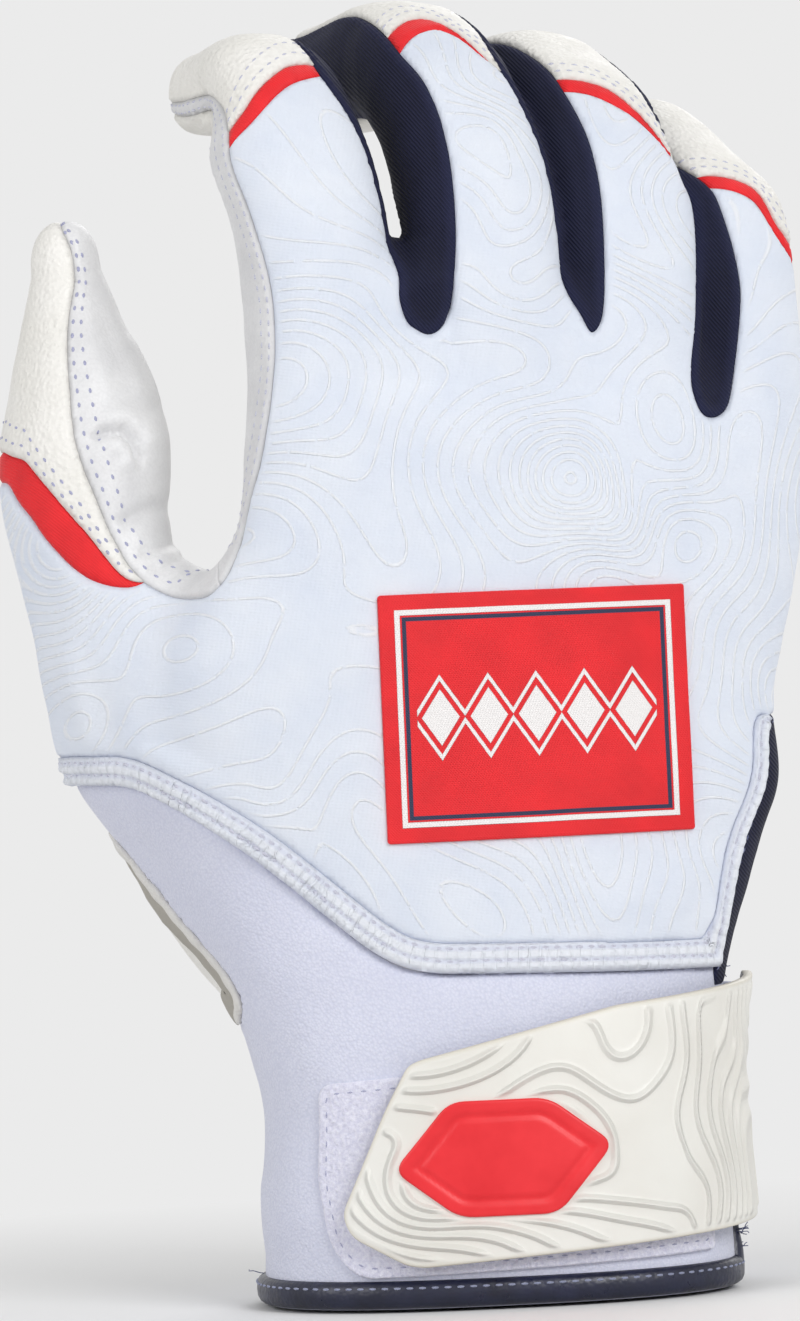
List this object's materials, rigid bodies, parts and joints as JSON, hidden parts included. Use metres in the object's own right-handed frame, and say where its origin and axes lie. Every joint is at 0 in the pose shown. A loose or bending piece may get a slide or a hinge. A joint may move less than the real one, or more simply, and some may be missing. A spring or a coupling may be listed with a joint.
{
  "type": "batting glove",
  "caption": "Right-hand batting glove of cloth and leather panels with dark finger gussets, a woven label and a hinged wrist tab.",
  "frame": {"origin": "centre of the wrist opening, level with the bottom of the hem", "axes": "+Z from the wrist to the fingertips, -Y out of the back of the hand, -X towards the thumb"},
  "size_m": [0.1352, 0.0886, 0.2194],
  "materials": {
    "back_cloth": "ribbed stretch cloth with raised printed contour lines",
    "neoprene": "foam-backed brushed cloth",
    "pebbled_leather": "fine pebble grain, satin",
    "smooth_leather": "smooth, satin",
    "accent_cloth": "close twill",
    "navy_cloth": "twill",
    "navy_leather": "glossy binding",
    "tab_rubber": "moulded, satin",
    "emblem": "moulded, satin",
    "fastening": "hook and loop"
  },
  "bodies": {
    "glove": {"back_panel": "back_cloth", "edge_welt": "back_cloth", "index_accent": "accent_cloth", "middle_accent": "accent_cloth", "ring_accent": "accent_cloth", "little_accent": "accent_cloth", "thumb_accent": "accent_cloth", "label_patch": "accent_cloth", "index_tip": "pebbled_leather", "middle_tip": "pebbled_leather", "ring_tip": "pebbled_leather", "little_tip": "pebbled_leather", "palm_leather": "pebbled_leather", "thumb_back_leather": "pebbled_leather", "gusset_index_middle": "navy_cloth", "gusset_middle_ring": "navy_cloth", "gusset_ring_little": "navy_cloth", "ulnar_panel": "navy_cloth", "index_side_leather": "smooth_leather", "thumb_front_leather": "smooth_leather", "cuff_panel": "neoprene", "strap_anchor": "neoprene", "hem_binding": "navy_leather", "loop_patch": "fastening"},
    "strap": {"strap_tab": "tab_rubber", "hook_patch": "fastening", "tab_emblem": "emblem"}
  },
  "joints": [
    {"name": "strap_hinge", "type": "hinge", "parent": "glove", "child": "strap", "pos_m": [0.045, 0.008, 0.03], "axis": [0, 0, 1], "range_deg": [0, 150]}
  ]
}
